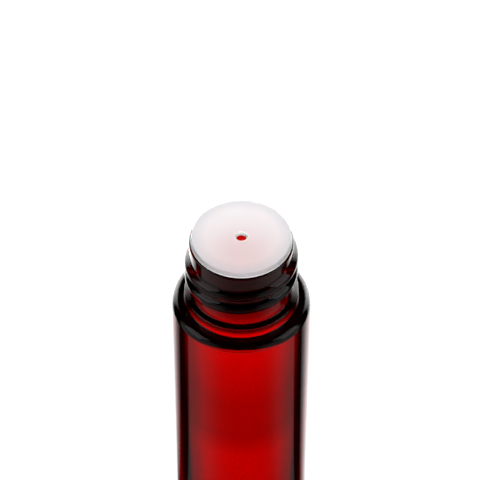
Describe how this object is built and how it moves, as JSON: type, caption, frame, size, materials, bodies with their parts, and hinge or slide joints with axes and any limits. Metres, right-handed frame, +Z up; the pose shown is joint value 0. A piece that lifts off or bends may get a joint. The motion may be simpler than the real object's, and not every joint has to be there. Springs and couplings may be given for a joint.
{
  "type": "body oil bottle",
  "caption": "Slim round bottle of clear deep red plastic with a short screw neck, a pressed-in white orifice reducer and oil inside; open, without its cap.",
  "frame": {"origin": "centre of the foot, on the plane that the bottle stands on", "axes": "+Z up along the bottle's axis, towards the neck; the thread starts in the +X +Y quarter"},
  "size_m": [0.0334, 0.0334, 0.1235],
  "materials": {
    "red_pet": "clear tinted PET, moulded glossy",
    "natural_ldpe": "natural translucent LDPE, moulded satin",
    "oil": "clear pale yellow oil"
  },
  "bodies": {
    "bottle": {"bottle": "red_pet", "oil": "oil"},
    "reducer": {"orifice_reducer": "natural_ldpe"}
  },
  "joints": [
    {"name": "reducer_pull", "type": "slide", "parent": "bottle", "child": "reducer", "axis": [0, 0, 1], "range_m": [0, 0.01]}
  ]
}
